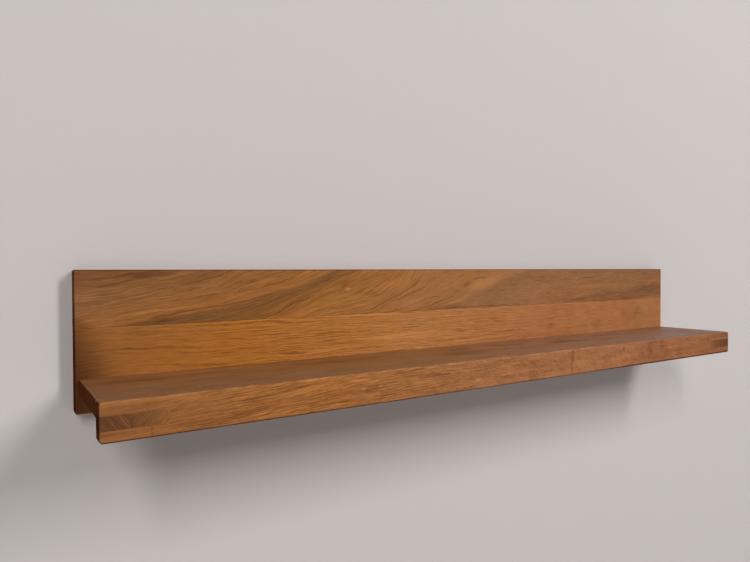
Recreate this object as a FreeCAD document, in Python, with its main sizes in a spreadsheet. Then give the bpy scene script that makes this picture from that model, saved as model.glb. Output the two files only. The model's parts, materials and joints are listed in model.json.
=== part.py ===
"""Floating wall shelf of solid wood: a tall back board, a shelf board and a hanging front lip.

Frame, in millimetres: X along the shelf with 0 at its middle, Y out of the room into the wall with
0 on the wall, so that the shelf reaches towards -Y, and Z up with 0 level with the shelf's top face.

The back board is glued up from two staves whose seam rises slightly to the right. Countersunk screws
hold the shelf board from behind, dowels hold the lip, and cross-grain blocks fill the open slots in
the lip's two ends. Three keyhole plates let into the upper stave hang the whole on wall screws.
"""

import FreeCAD, Part
import os
import Sketcher
from FreeCAD import Vector

# Driving dimensions, in millimetres, and counts: (alias, value, what it is)
SIZES = (
    # Boards
    ("shelf_length", "1200", "length of the back board"),
    ("back_rise", "130.5", "back board above the shelf's top face"),
    ("back_thickness", "19", "thickness of the back board's two staves"),
    ("seam_left_rise", "60.1", "stave seam above the shelf's top face, at the left end"),
    ("seam_right_rise", "64.5", "stave seam above the shelf's top face, at the right end"),
    ("shelf_reach", "150", "front of the back board to front of the lip"),
    ("shelf_thickness", "19", "thickness of the shelf board"),
    ("end_inset", "4.4", "shelf and lip stop this far inside each end of the back board"),
    ("lip_height", "41.5", "height of the lip, whose foot is level with the back board's"),
    ("lip_thickness", "19", "thickness of the lip"),
    # Eased edges
    ("back_corner_radius", "2.5", "back board's four corners"),
    ("back_edge_radius", "1.5", "back board's front arrises"),
    ("lip_corner_radius", "4", "lip's four corners"),
    ("lip_edge_radius", "1.8", "lip's front arrises"),
    ("inner_edge_radius", "0.8", "arrises of the shelf board's ends and the lip's foot behind"),
    # Cross-grain blocks in the lip's ends
    ("block_length", "68", "block along the lip"),
    ("block_height", "15.3", "block up the lip"),
    ("block_drop", "14", "top of the block below the shelf's top face"),
    # Dowels between the lip and the shelf board
    ("lip_dowel_count", "6", "number of lip dowels"),
    ("lip_dowel_end_distance", "110", "outer lip dowels from the lip's ends"),
    ("lip_dowel_diameter", "8", "lip dowel"),
    ("lip_dowel_in_lip", "12", "lip dowel inside the lip"),
    ("lip_dowel_in_shelf", "18", "lip dowel inside the shelf board"),
    # Dowels across the seam of the back board
    ("seam_dowel_count", "6", "number of seam dowels"),
    ("seam_dowel_end_distance", "100", "outer seam dowels from the back board's ends"),
    ("seam_dowel_diameter", "8", "seam dowel"),
    ("seam_dowel_length", "40", "seam dowel, half of it in each stave"),
    ("dowel_bevel", "1", "bevel on the ends of the dowels"),
    ("glue_space", "1", "free depth beyond each end of a dowel"),
    # Screws that hold the shelf board from behind
    ("shelf_screw_count", "6", "number of shelf screws"),
    ("shelf_screw_end_distance", "100", "outer shelf screws from the back board's ends"),
    ("shelf_screw_diameter", "4.5", "shank of a shelf screw"),
    ("shelf_screw_head", "9", "head of a shelf screw"),
    ("shelf_screw_length", "50", "shelf screw, head included"),
    ("screw_tip", "4", "pointed end of every screw"),
    ("countersink_angle", "90", "angle of every screw head and countersink, in degrees"),
    # Keyhole hanger plates
    ("hanger_end_distance", "150", "outer hangers from the back board's ends"),
    ("hanger_drop", "34", "middle of a hanger below the back board's top edge"),
    ("hanger_height", "46", "hanger plate, upright"),
    ("hanger_width", "18", "hanger plate, across"),
    ("hanger_thickness", "2", "hanger plate"),
    ("recess_clearance", "0.2", "recess around a hanger plate"),
    ("keyhole_entry_diameter", "10.5", "round mouth of the keyhole, which passes a screw head"),
    ("keyhole_slot_width", "5", "slot of the keyhole, which holds a screw shank"),
    ("keyhole_entry_drop", "5", "centre of the mouth below the plate's middle"),
    ("keyhole_slot_rise", "9", "upper end of the slot's centreline above the plate's middle"),
    ("head_pocket_margin", "0.5", "pocket behind the keyhole wider than its mouth, each side"),
    ("head_pocket_depth", "8", "pocket behind the hanger plate"),
    # Screws that hold the hanger plates
    ("plate_screw_offset", "17", "plate screws above and below the plate's middle"),
    ("plate_screw_diameter", "3.5", "shank of a plate screw"),
    ("plate_screw_head", "6.8", "head of a plate screw"),
    ("plate_screw_length", "14", "plate screw, head included"),
    # Cross recesses in the screw heads
    ("recess_arm", "0.9", "width of an arm of the cross recess"),
    ("recess_share", "0.6", "length of the cross recess as a share of the head"),
    ("recess_depth", "1.3", "depth of the cross recess"),
)

HANGER_SIDES = (("left", -1), ("middle", 0), ("right", 1))
SCREWS_PER_PLATE = 2
NEAR = 0.01  # how closely an edge has to lie to the place where it is looked for

# Places worked out from the driving dimensions, as expressions on the sheet
HALF_LENGTH = "Sizes.shelf_length / 2"
HALF_LIP = "(Sizes.shelf_length / 2 - Sizes.end_inset)"
FOOT = "-Sizes.lip_height"
SEAM_MIDDLE = "(Sizes.seam_left_rise + Sizes.seam_right_rise) / 2"
SEAM_TILT = "atan((Sizes.seam_right_rise - Sizes.seam_left_rise) / Sizes.shelf_length)"
SHELF_FRONT = "(Sizes.back_thickness + Sizes.shelf_reach - Sizes.lip_thickness)"
SHELF_MIDDLE = "-Sizes.shelf_thickness / 2"
HANGER_SPACING = "(Sizes.shelf_length / 2 - Sizes.hanger_end_distance)"
HANGER_LEVEL = "(Sizes.back_rise - Sizes.hanger_drop)"
LIP_DOWEL_SPAN = "(Sizes.shelf_length - 2 * Sizes.end_inset - 2 * Sizes.lip_dowel_end_distance)"
SEAM_DOWEL_SPAN = "(Sizes.shelf_length - 2 * Sizes.seam_dowel_end_distance)"
SHELF_SCREW_SPAN = "(Sizes.shelf_length - 2 * Sizes.shelf_screw_end_distance)"

doc = FreeCAD.newDocument("FloatingShelf")
sheet = doc.addObject("Spreadsheet::Sheet", "Sizes")


def fill_sheet():
    """Writes every driving dimension into a named cell."""
    for row, (alias, value, meaning) in enumerate(SIZES, start=1):
        sheet.set(f"A{row}", alias)
        sheet.set(f"B{row}", value)
        sheet.set(f"C{row}", meaning)
        sheet.setAlias(f"B{row}", alias)
    doc.recompute()


# ---------------------------------------------------------------- sketches


def number(expression):
    """The value that an expression on the sheet has now, to start a sketch near its final form."""
    value = sheet.evalExpression(expression)
    return float(getattr(value, "Value", value))


def new_body(name):
    body = doc.addObject("PartDesign::Body", name)
    body.Label = name
    return body


def place_body(body, x="0", y="0", z="0"):
    for axis, expression in (("x", x), ("y", y), ("z", z)):
        body.setExpression(f"Placement.Base.{axis}", expression)


def new_sketch(body, name, plane, ahead="0"):
    """A sketch on one of the body's origin planes, moved ahead along that plane's normal."""
    sketch = body.newObject("Sketcher::SketchObject", name)
    origin_plane = next(o for o in body.Origin.OriginFeatures if o.Role == plane)
    sketch.AttachmentSupport = [(origin_plane, "")]
    sketch.MapMode = "FlatFace"
    sketch.setExpression("AttachmentOffset.Base.z", ahead)
    return sketch


def pin_point(sketch, geometry, point, x, y, start):
    """Holds a point of the sketch at x, y from the sketch's origin."""
    for kind, expression, value in (("DistanceX", x, start.x), ("DistanceY", y, start.y)):
        index = sketch.addConstraint(Sketcher.Constraint(kind, -1, 1, geometry, point, value))
        sketch.setExpression(f"Constraints[{index}]", expression)


def draw_polygon(sketch, corners):
    """A closed outline through corners, each a pair of expressions."""
    starts = [Vector(number(x), number(y), 0) for x, y in corners]
    first = sketch.GeometryCount
    count = len(corners)
    for i in range(count):
        sketch.addGeometry(Part.LineSegment(starts[i], starts[(i + 1) % count]), False)
    for i in range(count):
        following = first + (i + 1) % count
        sketch.addConstraint(Sketcher.Constraint("Coincident", first + i, 2, following, 1))
    for i, (x, y) in enumerate(corners):
        pin_point(sketch, first + i, 1, x, y, starts[i])


def draw_rectangle(sketch, left, right, low, high):
    draw_polygon(sketch, ((left, low), (right, low), (right, high), (left, high)))


def draw_circle(sketch, x, y, diameter):
    centre = Vector(number(x), number(y), 0)
    index = sketch.addGeometry(Part.Circle(centre, Vector(0, 0, 1), number(diameter) / 2), False)
    pin_point(sketch, index, 3, x, y, centre)
    size = sketch.addConstraint(Sketcher.Constraint("Diameter", index, number(diameter)))
    sketch.setExpression(f"Constraints[{size}]", diameter)


def draw_obround(sketch, x, low, high, width):
    """An upright slot with round ends, whose end centres lie at low and high."""
    radius = number(width) / 2
    centre_low = Vector(number(x), number(low), 0)
    centre_high = Vector(number(x), number(high), 0)
    side = Vector(radius, 0, 0)
    tip = Vector(0, radius, 0)
    right = sketch.addGeometry(Part.LineSegment(centre_low + side, centre_high + side), False)
    top = sketch.addGeometry(Part.Arc(centre_high + side, centre_high + tip, centre_high - side), False)
    left = sketch.addGeometry(Part.LineSegment(centre_high - side, centre_low - side), False)
    foot = sketch.addGeometry(Part.Arc(centre_low - side, centre_low - tip, centre_low + side), False)
    joins = ((right, 2, top, 1), (top, 2, left, 1), (left, 2, foot, 1), (foot, 2, right, 1))
    for one, one_end, other, other_end in joins:
        sketch.addConstraint(Sketcher.Constraint("Tangent", one, one_end, other, other_end))
    sketch.addConstraint(Sketcher.Constraint("Equal", top, foot))
    pin_point(sketch, top, 3, x, high, centre_high)
    pin_point(sketch, foot, 3, x, low, centre_low)
    size = sketch.addConstraint(Sketcher.Constraint("Diameter", top, 2 * radius))
    sketch.setExpression(f"Constraints[{size}]", width)


# ---------------------------------------------------------------- features


def pad(body, sketch, length, reverse=False):
    feature = body.newObject("PartDesign::Pad", f"{body.Label}_pad")
    feature.Profile = sketch
    feature.setExpression("Length", length)
    feature.Reversed = reverse
    doc.recompute()
    return feature


def cut_feature(feature):
    """Recomputes and makes sure that the feature took wood or metal away."""
    base = feature.BaseFeature.Shape.Volume
    doc.recompute()
    if not feature.Shape.Volume < base:
        raise RuntimeError(f"{feature.Name} cuts nothing")
    return feature


def pocket(body, sketch, depth=None, reverse=False):
    """Cuts a sketch out of the body, through everything where no depth is given."""
    feature = body.newObject("PartDesign::Pocket", f"{sketch.Name}_pocket")
    feature.Profile = sketch
    feature.Reversed = reverse
    if depth is None:
        feature.Type = "ThroughAll"
    else:
        feature.setExpression("Length", depth)
    return cut_feature(feature)


def countersink(body, sketch, diameter, head):
    """Drills countersunk holes from the wall side, through everything."""
    doc.recompute()
    feature = body.newObject("PartDesign::Hole", f"{sketch.Name}_hole")
    feature.Profile = sketch
    feature.Reversed = True
    feature.DepthType = "ThroughAll"
    feature.setExpression("Diameter", diameter)
    feature.HoleCutType = "Countersink"
    feature.HoleCutCustomValues = True
    feature.setExpression("HoleCutDiameter", head)
    feature.setExpression("HoleCutCountersinkAngle", "Sizes.countersink_angle")
    return cut_feature(feature)


def revolve(body, sketch):
    feature = body.newObject("PartDesign::Revolution", f"{body.Label}_turned")
    feature.Profile = sketch
    feature.ReferenceAxis = (sketch, ["V_Axis"])
    feature.Angle = 360
    doc.recompute()
    return feature


def repeat(body, features, sketch, count, span, count_up=None, span_up=None):
    """Repeats features along the sketch's first axis, and up its second where that is given."""
    pattern = body.newObject("PartDesign::LinearPattern", f"{features[0].Name}_row")
    pattern.Originals = features
    pattern.Direction = (sketch, ["H_Axis"])
    pattern.setExpression("Length", span)
    pattern.setExpression("Occurrences", count)
    if count_up is not None:
        pattern.Direction2 = (sketch, ["V_Axis"])
        pattern.setExpression("Length2", span_up)
        pattern.setExpression("Occurrences2", count_up)
    body.Tip = pattern
    doc.recompute()
    return pattern


def fillet(body, radius, wanted):
    """Rounds the edges of the body's tip for which wanted(edge's box) is true."""
    base = body.Tip
    names = [f"Edge{i}" for i, edge in enumerate(base.Shape.Edges, start=1) if wanted(edge.BoundBox)]
    if not names:
        raise RuntimeError(f"no edge to round on {body.Label}")
    feature = body.newObject("PartDesign::Fillet", f"{base.Name}_eased")
    feature.Base = (base, names)
    feature.setExpression("Radius", radius)
    doc.recompute()
    return feature


def near(value, place):
    return abs(value - place) < NEAR


# ---------------------------------------------------------------- boards


def make_back_stave(name, low_left, low_right, high_left, high_right, outer):
    """One stave of the back board, whose free edge is at the height outer."""
    body = new_body(name)
    sketch = new_sketch(body, f"{name}_outline", "XZ_Plane")
    draw_polygon(sketch, ((f"-{HALF_LENGTH}", low_left), (HALF_LENGTH, low_right),
                          (HALF_LENGTH, high_right), (f"-{HALF_LENGTH}", high_left)))
    pad(body, sketch, "Sizes.back_thickness")
    end = number(HALF_LENGTH)
    free = number(outer)
    front = -number("Sizes.back_thickness")
    corner = number("Sizes.back_corner_radius")

    def corner_edge(box):
        return near(abs(box.Center.x), end) and near(box.ZMin, free) and near(box.ZMax, free)

    def front_arris(box):
        on_front = near(box.YMin, front) and near(box.YMax, front)
        at_end = abs(box.Center.x) > end - corner
        at_free_edge = abs(box.Center.z - free) < corner
        return on_front and (at_end or at_free_edge)

    fillet(body, "Sizes.back_corner_radius", corner_edge)
    fillet(body, "Sizes.back_edge_radius", front_arris)
    return body


def bore_seam_dowels(body, downwards):
    """Bores one stave square to its seam for half the length of each seam dowel."""
    sketch = new_sketch(body, f"{body.Label}_seam_bore", "XY_Plane", SEAM_MIDDLE)
    tilt_to_seam(sketch, "AttachmentOffset")
    draw_circle(sketch, f"-{SEAM_DOWEL_SPAN} / 2", "-Sizes.back_thickness / 2",
                "Sizes.seam_dowel_diameter")
    depth = "Sizes.seam_dowel_length / 2 + Sizes.glue_space"
    bore = pocket(body, sketch, depth, reverse=not downwards)
    repeat(body, [bore], sketch, "Sizes.seam_dowel_count", SEAM_DOWEL_SPAN)


def tilt_to_seam(item, placement):
    """Turns a placement about Y until its X axis runs along the seam, which rises to the right."""
    setattr(item, placement, FreeCAD.Placement(Vector(), FreeCAD.Rotation(Vector(0, -1, 0), 1)))
    item.setExpression(f"{placement}.Rotation.Angle", SEAM_TILT)


def make_back_upper_stave():
    body = make_back_stave("back_upper_stave", "Sizes.seam_left_rise", "Sizes.seam_right_rise",
                           "Sizes.back_rise", "Sizes.back_rise", "Sizes.back_rise")
    bore_seam_dowels(body, downwards=False)
    plate_half = "(Sizes.hanger_height - Sizes.hanger_width) / 2"
    recess = new_sketch(body, "hanger_recess", "XZ_Plane")
    draw_obround(recess, f"-{HANGER_SPACING}", f"{HANGER_LEVEL} - {plate_half}",
                 f"{HANGER_LEVEL} + {plate_half}", "Sizes.hanger_width + 2 * Sizes.recess_clearance")
    head = new_sketch(body, "head_pocket", "XZ_Plane")
    draw_obround(head, f"-{HANGER_SPACING}", f"{HANGER_LEVEL} - Sizes.keyhole_entry_drop",
                 f"{HANGER_LEVEL} + Sizes.keyhole_slot_rise",
                 "Sizes.keyhole_entry_diameter + 2 * Sizes.head_pocket_margin")
    pilot = new_sketch(body, "plate_screw_pilot", "XZ_Plane")
    for sign in ("-", "+"):
        draw_circle(pilot, f"-{HANGER_SPACING}", f"{HANGER_LEVEL} {sign} Sizes.plate_screw_offset",
                    "Sizes.plate_screw_diameter")
    depths = ((recess, "Sizes.hanger_thickness"),
              (head, "Sizes.hanger_thickness + Sizes.head_pocket_depth"),
              (pilot, "Sizes.plate_screw_length"))
    for sketch, depth in depths:
        cut = pocket(body, sketch, depth, reverse=True)
        repeat(body, [cut], sketch, str(len(HANGER_SIDES)), f"2 * {HANGER_SPACING}")
    return body


def make_back_lower_stave():
    body = make_back_stave("back_lower_stave", FOOT, FOOT, "Sizes.seam_left_rise",
                           "Sizes.seam_right_rise", FOOT)
    bore_seam_dowels(body, downwards=True)
    sketch = new_sketch(body, "shelf_screw_bore", "XZ_Plane")
    draw_circle(sketch, f"-{SHELF_SCREW_SPAN} / 2", SHELF_MIDDLE, "Sizes.shelf_screw_diameter")
    hole = countersink(body, sketch, "Sizes.shelf_screw_diameter", "Sizes.shelf_screw_head")
    repeat(body, [hole], sketch, "Sizes.shelf_screw_count", SHELF_SCREW_SPAN)
    return body


def make_shelf_board():
    body = new_body("shelf_board")
    sketch = new_sketch(body, "shelf_board_outline", "XY_Plane")
    draw_rectangle(sketch, f"-{HALF_LIP}", HALF_LIP, f"-{SHELF_FRONT}", "-Sizes.back_thickness")
    pad(body, sketch, "Sizes.shelf_thickness", reverse=True)
    end = number(HALF_LIP)

    def end_arris(box):
        return near(abs(box.Center.x), end) and near(box.ZLength, 0)

    fillet(body, "Sizes.inner_edge_radius", end_arris)
    pilot = new_sketch(body, "shelf_screw_pilot", "XZ_Plane", "Sizes.back_thickness")
    draw_circle(pilot, f"-{SHELF_SCREW_SPAN} / 2", SHELF_MIDDLE, "Sizes.shelf_screw_diameter")
    depth = "Sizes.shelf_screw_length - Sizes.back_thickness"
    cut = pocket(body, pilot, depth, reverse=True)
    repeat(body, [cut], pilot, "Sizes.shelf_screw_count", SHELF_SCREW_SPAN)
    bore_lip_dowels(body, "Sizes.lip_dowel_in_shelf", forwards=False)
    return body


def bore_lip_dowels(body, depth, forwards):
    """Bores the shelf board or the lip for its share of each lip dowel."""
    sketch = new_sketch(body, f"{body.Label}_dowel_bore", "XZ_Plane", SHELF_FRONT)
    draw_circle(sketch, f"-{LIP_DOWEL_SPAN} / 2", SHELF_MIDDLE, "Sizes.lip_dowel_diameter")
    bore = pocket(body, sketch, f"{depth} + Sizes.glue_space", reverse=forwards)
    repeat(body, [bore], sketch, "Sizes.lip_dowel_count", LIP_DOWEL_SPAN)


def make_front_lip():
    body = new_body("front_lip")
    sketch = new_sketch(body, "front_lip_outline", "XZ_Plane", SHELF_FRONT)
    draw_rectangle(sketch, f"-{HALF_LIP}", HALF_LIP, FOOT, "0")
    pad(body, sketch, "Sizes.lip_thickness")
    end = number(HALF_LIP)
    foot = number(FOOT)
    back = -number(SHELF_FRONT)
    front = back - number("Sizes.lip_thickness")

    def corner_edge(box):
        return near(abs(box.Center.x), end) and near(box.XLength + box.ZLength, 0)

    def front_arris(box):
        return near(box.YMin, front) and near(box.YMax, front)

    def hidden_foot(box):
        return near(box.YMin, back) and near(box.YMax, back) and near(box.ZMax, foot)

    fillet(body, "Sizes.lip_corner_radius", corner_edge)
    fillet(body, "Sizes.lip_edge_radius", front_arris)
    fillet(body, "Sizes.inner_edge_radius", hidden_foot)
    slots = new_sketch(body, "end_slots", "XZ_Plane", SHELF_FRONT)
    for side in (-1, 1):
        draw_rectangle(slots, *block_outline(side))
    pocket(body, slots, reverse=True)
    bore_lip_dowels(body, "Sizes.lip_dowel_in_lip", forwards=True)
    return body


def block_outline(side):
    """Left, right, low and high of the block at one end of the lip."""
    inner = f"({HALF_LIP} - Sizes.block_length)"
    low = "-Sizes.block_drop - Sizes.block_height"
    high = "-Sizes.block_drop"
    if side < 0:
        return f"-{HALF_LIP}", f"-{inner}", low, high
    return inner, HALF_LIP, low, high


def make_end_block(name, side):
    """A block whose end grain shows in the lip's face, eased with the lip's own arris."""
    body = new_body(name)
    sketch = new_sketch(body, f"{name}_outline", "XZ_Plane", SHELF_FRONT)
    draw_rectangle(sketch, *block_outline(side))
    pad(body, sketch, "Sizes.lip_thickness")
    end = side * number(HALF_LIP)
    front = -number(SHELF_FRONT) - number("Sizes.lip_thickness")

    def outer_arris(box):
        return near(box.Center.x, end) and near(box.Center.y, front)

    fillet(body, "Sizes.lip_edge_radius", outer_arris)
    return body


# ---------------------------------------------------------------- dowels and screws


def dowel_profile(diameter, start, end):
    """Half of a bevelled dowel, from start to end along the second axis of its sketch."""
    radius = f"{diameter} / 2"
    slim = f"{diameter} / 2 - Sizes.dowel_bevel"
    return (("0", start), (slim, start), (radius, f"{start} + Sizes.dowel_bevel"),
            (radius, f"{end} - Sizes.dowel_bevel"), (slim, end), ("0", end))


def make_lip_dowels():
    body = new_body("lip_dowels")
    place_body(body, x=f"-{LIP_DOWEL_SPAN} / 2", y=f"-{SHELF_FRONT}", z=SHELF_MIDDLE)
    sketch = new_sketch(body, "lip_dowel_profile", "XY_Plane")
    draw_polygon(sketch, dowel_profile("Sizes.lip_dowel_diameter", "-Sizes.lip_dowel_in_lip",
                                       "Sizes.lip_dowel_in_shelf"))
    repeat(body, [revolve(body, sketch)], sketch, "Sizes.lip_dowel_count", LIP_DOWEL_SPAN)
    return body


def make_seam_dowels():
    """Dowels across the seam of the back board, in a body whose X axis runs along the seam."""
    body = new_body("seam_dowels")
    tilt_to_seam(body, "Placement")
    place_body(body, x=f"-{SEAM_DOWEL_SPAN} / 2 * cos({SEAM_TILT})", y="-Sizes.back_thickness / 2",
               z=f"{SEAM_MIDDLE} - {SEAM_DOWEL_SPAN} / 2 * sin({SEAM_TILT})")
    sketch = new_sketch(body, "seam_dowel_profile", "XZ_Plane")
    half = "Sizes.seam_dowel_length / 2"
    profile = dowel_profile("Sizes.seam_dowel_diameter", f"-{half}", half)
    draw_polygon(sketch, profile)
    dowel = revolve(body, sketch)
    repeat(body, [dowel], sketch, "Sizes.seam_dowel_count", SEAM_DOWEL_SPAN)
    return body


def screw_profile(diameter, head, length):
    """Half of a countersunk screw, whose flat head is at 0 and whose point is at -length."""
    radius = f"{diameter} / 2"
    neck = f"-({head} - {diameter}) / 2 / tan(Sizes.countersink_angle / 2)"
    return (("0", f"-{length}"), (radius, f"Sizes.screw_tip - {length}"), (radius, neck),
            (f"{head} / 2", "0"), ("0", "0"))


def draw_cross(sketch, head):
    """The outline of a cross recess with four square arms, centred on the sketch's origin."""
    narrow = "Sizes.recess_arm / 2"
    far = f"{head} / 2 * Sizes.recess_share"
    quarter = ((far, f"-{narrow}"), (far, narrow), (narrow, narrow))
    corners = list(quarter)
    for _ in range(3):
        quarter = tuple((negated(y), x) for x, y in quarter)
        corners.extend(quarter)
    draw_polygon(sketch, corners)


def negated(expression):
    return expression[1:] if expression.startswith("-") else f"-{expression}"


def make_screw(body, diameter, head, length):
    """A countersunk screw with its head on the wall side, and the features that make it."""
    sketch = new_sketch(body, f"{body.Label}_profile", "XY_Plane")
    draw_polygon(sketch, screw_profile(diameter, head, length))
    turned = revolve(body, sketch)
    cross = new_sketch(body, f"{body.Label}_cross", "XZ_Plane")
    draw_cross(cross, head)
    return [turned, pocket(body, cross, "Sizes.recess_depth", reverse=True)], cross


def make_shelf_screws():
    body = new_body("shelf_screws")
    place_body(body, x=f"-{SHELF_SCREW_SPAN} / 2", z=SHELF_MIDDLE)
    features, sketch = make_screw(body, "Sizes.shelf_screw_diameter", "Sizes.shelf_screw_head",
                                  "Sizes.shelf_screw_length")
    repeat(body, features, sketch, "Sizes.shelf_screw_count", SHELF_SCREW_SPAN)
    return body


def make_plate_screws():
    body = new_body("plate_screws")
    place_body(body, x=f"-{HANGER_SPACING}", z=f"{HANGER_LEVEL} - Sizes.plate_screw_offset")
    features, sketch = make_screw(body, "Sizes.plate_screw_diameter", "Sizes.plate_screw_head",
                                  "Sizes.plate_screw_length")
    repeat(body, features, sketch, str(len(HANGER_SIDES)), f"2 * {HANGER_SPACING}",
           str(SCREWS_PER_PLATE), "2 * Sizes.plate_screw_offset")
    return body


# ---------------------------------------------------------------- hangers


def make_hanger(name, side):
    """A steel keyhole plate, flush with the back of the upper stave."""
    body = new_body(name)
    place_body(body, x=f"{side} * {HANGER_SPACING}", z=HANGER_LEVEL)
    plate_half = "(Sizes.hanger_height - Sizes.hanger_width) / 2"
    plate = new_sketch(body, f"{name}_plate", "XZ_Plane")
    draw_obround(plate, "0", f"-{plate_half}", plate_half, "Sizes.hanger_width")
    pad(body, plate, "Sizes.hanger_thickness")
    mouth = new_sketch(body, f"{name}_mouth", "XZ_Plane")
    draw_circle(mouth, "0", "-Sizes.keyhole_entry_drop", "Sizes.keyhole_entry_diameter")
    pocket(body, mouth, reverse=True)
    slot = new_sketch(body, f"{name}_slot", "XZ_Plane")
    draw_obround(slot, "0", "-Sizes.keyhole_entry_drop", "Sizes.keyhole_slot_rise",
                 "Sizes.keyhole_slot_width")
    pocket(body, slot, reverse=True)
    screws = new_sketch(body, f"{name}_screw_holes", "XZ_Plane")
    for sign in ("-", ""):
        draw_circle(screws, "0", f"{sign}Sizes.plate_screw_offset", "Sizes.plate_screw_diameter")
    countersink(body, screws, "Sizes.plate_screw_diameter", "Sizes.plate_screw_head")
    return body


# ---------------------------------------------------------------- model


def make_parts():
    """Every piece of the shelf, in the order in which a bench would put it together."""
    parts = [make_back_lower_stave(), make_back_upper_stave(), make_seam_dowels()]
    parts += [make_shelf_board(), make_shelf_screws()]
    parts += [make_front_lip(), make_lip_dowels()]
    parts += [make_end_block("lip_end_block_left", -1), make_end_block("lip_end_block_right", 1)]
    parts += [make_hanger(f"keyhole_hanger_{word}", side) for word, side in HANGER_SIDES]
    parts.append(make_plate_screws())
    doc.recompute()
    return parts


def check_parts(parts):
    """Stops when any object failed or any piece is empty, broken or short of a solid."""
    for item in doc.Objects:
        if {"Invalid", "Error"} & set(item.State):
            raise RuntimeError(f"{item.Name} failed: {item.State}")
    solids = {"seam_dowels": int(sheet.seam_dowel_count), "lip_dowels": int(sheet.lip_dowel_count),
              "shelf_screws": int(sheet.shelf_screw_count),
              "plate_screws": SCREWS_PER_PLATE * len(HANGER_SIDES)}
    for part in parts:
        shape = part.Shape
        if shape.isNull() or not shape.isValid():
            raise RuntimeError(f"{part.Label} has no valid shape")
        if len(shape.Solids) != solids.get(part.Label, 1):
            raise RuntimeError(f"{part.Label} has {len(shape.Solids)} solids")


def write_parts(parts):
    os.makedirs("parts", exist_ok=True)
    for part in parts:
        part.Shape.exportStep(f"parts/{part.Label}.step")
        box = part.Shape.BoundBox
        print(f"{part.Label:22} {len(part.Shape.Solids)} solids {part.Shape.Volume / 1000:9.2f} cm3  "
              f"X {box.XMin:8.2f} {box.XMax:8.2f}  Y {box.YMin:8.2f} {box.YMax:6.2f}  "
              f"Z {box.ZMin:7.2f} {box.ZMax:7.2f}")


fill_sheet()
pieces = make_parts()
check_parts(pieces)
write_parts(pieces)
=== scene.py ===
"""Floating wall shelf of solid wood: its finishes, with a stage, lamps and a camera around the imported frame.

The row frame is in metres, with X along the shelf, Y into the wall and Z up from the shelf's top face.
The materials count in millimetres instead: along, from the shelf's left end; depth, from the wall into the
room; and rise, from the foot of the shelf.
"""
import json
import math

import bpy
from mathutils import Euler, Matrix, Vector


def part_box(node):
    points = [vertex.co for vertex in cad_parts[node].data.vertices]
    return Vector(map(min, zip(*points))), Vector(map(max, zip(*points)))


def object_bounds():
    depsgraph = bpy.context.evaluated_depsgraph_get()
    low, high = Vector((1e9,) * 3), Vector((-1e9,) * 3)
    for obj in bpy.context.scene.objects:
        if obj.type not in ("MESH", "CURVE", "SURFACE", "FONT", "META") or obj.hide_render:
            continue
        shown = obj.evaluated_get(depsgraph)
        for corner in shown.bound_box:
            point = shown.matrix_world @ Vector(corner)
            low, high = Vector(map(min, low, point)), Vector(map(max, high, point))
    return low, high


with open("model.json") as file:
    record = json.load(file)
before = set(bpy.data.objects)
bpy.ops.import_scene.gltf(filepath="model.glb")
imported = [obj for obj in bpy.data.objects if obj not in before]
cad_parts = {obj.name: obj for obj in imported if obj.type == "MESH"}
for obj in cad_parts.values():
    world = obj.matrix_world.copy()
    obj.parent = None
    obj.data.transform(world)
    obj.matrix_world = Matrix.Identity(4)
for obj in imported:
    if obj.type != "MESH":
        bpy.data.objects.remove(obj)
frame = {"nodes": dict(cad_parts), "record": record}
cad_low, cad_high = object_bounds()

MM = 0.001

# The camera, in metres and degrees, with its lens and sensor in millimetres. It stands just past the shelf's
# left end, level with the top of the back board, and looks to the right.
CAMERA_PLACE = (-0.6827, -0.7981, 0.1264)
CAMERA_YAW = 32.99
CAMERA_DOWN = 0.87
CAMERA_ROLL = 0.229
CAMERA_LENS = 28.47
CAMERA_SENSOR = 36.0
CAMERA_NEAR = 0.02
CAMERA_FAR = 60.0

# The stage, in metres: a wall just behind the shelf and a floor well below it.
STAGE_WIDTH = 14.0
WALL_GAP = 0.001
WALL_HEIGHT = 6.0
FLOOR_LEVEL = -1.5
FLOOR_DEPTH = 9.0

# The lamps, each by its place, the point it faces, its width and height, in metres, and its power in watts.
LAMPS = {
    "lamp_right": ((3.10, -4.70, 3.40), (0.1, 0.0, 0.0), 0.9, 2.9, 300.0),
    "lamp_left": ((-3.10, -4.70, 3.40), (-0.1, 0.0, 0.0), 0.9, 2.9, 210.0),
    "lamp_behind": ((0.4, 2.2, 1.0), (0.0, 0.0, 0.0), 1.6, 1.2, 50.0),
}
WORLD_STRENGTH = 0.20  # the surround's own light, where 1 is white

# The pieces' own places, in millimetres.
LEFT_END = cad_low.x / MM
FOOT = cad_low.z / MM
LENGTH = (cad_high.x - cad_low.x) / MM
RISE = (cad_high.z - cad_low.z) / MM
DEPTH = -cad_low.y / MM
BACK_THICKNESS = -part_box("back_upper_stave")[0].y / MM
SHELF_LEVEL = (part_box("shelf_board")[1].z - cad_low.z) / MM
SHELF_FOOT = (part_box("shelf_board")[0].z - cad_low.z) / MM
SEAM_LEFT = (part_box("back_upper_stave")[0].z - cad_low.z) / MM
SEAM_RIGHT = (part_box("back_lower_stave")[1].z - cad_low.z) / MM
LIP_LEFT = (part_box("front_lip")[0].x - cad_low.x) / MM
LIP_RIGHT = (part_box("front_lip")[1].x - cad_low.x) / MM
BLOCK_FOOT = (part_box("lip_end_block_left")[0].z - cad_low.z) / MM
BLOCK_TOP = (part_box("lip_end_block_left")[1].z - cad_low.z) / MM


# ---------------------------------------------------------------------------------------------------------
# Tools for the materials
# ---------------------------------------------------------------------------------------------------------

# The highest rise that a drawn curve can have, in millimetres: the node itself counts from 0 to 1.
CURVE_TOP = 240.0
# How far a thin line takes to fade out at its ends, in millimetres.
LINE_FADE = 14.0
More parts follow.
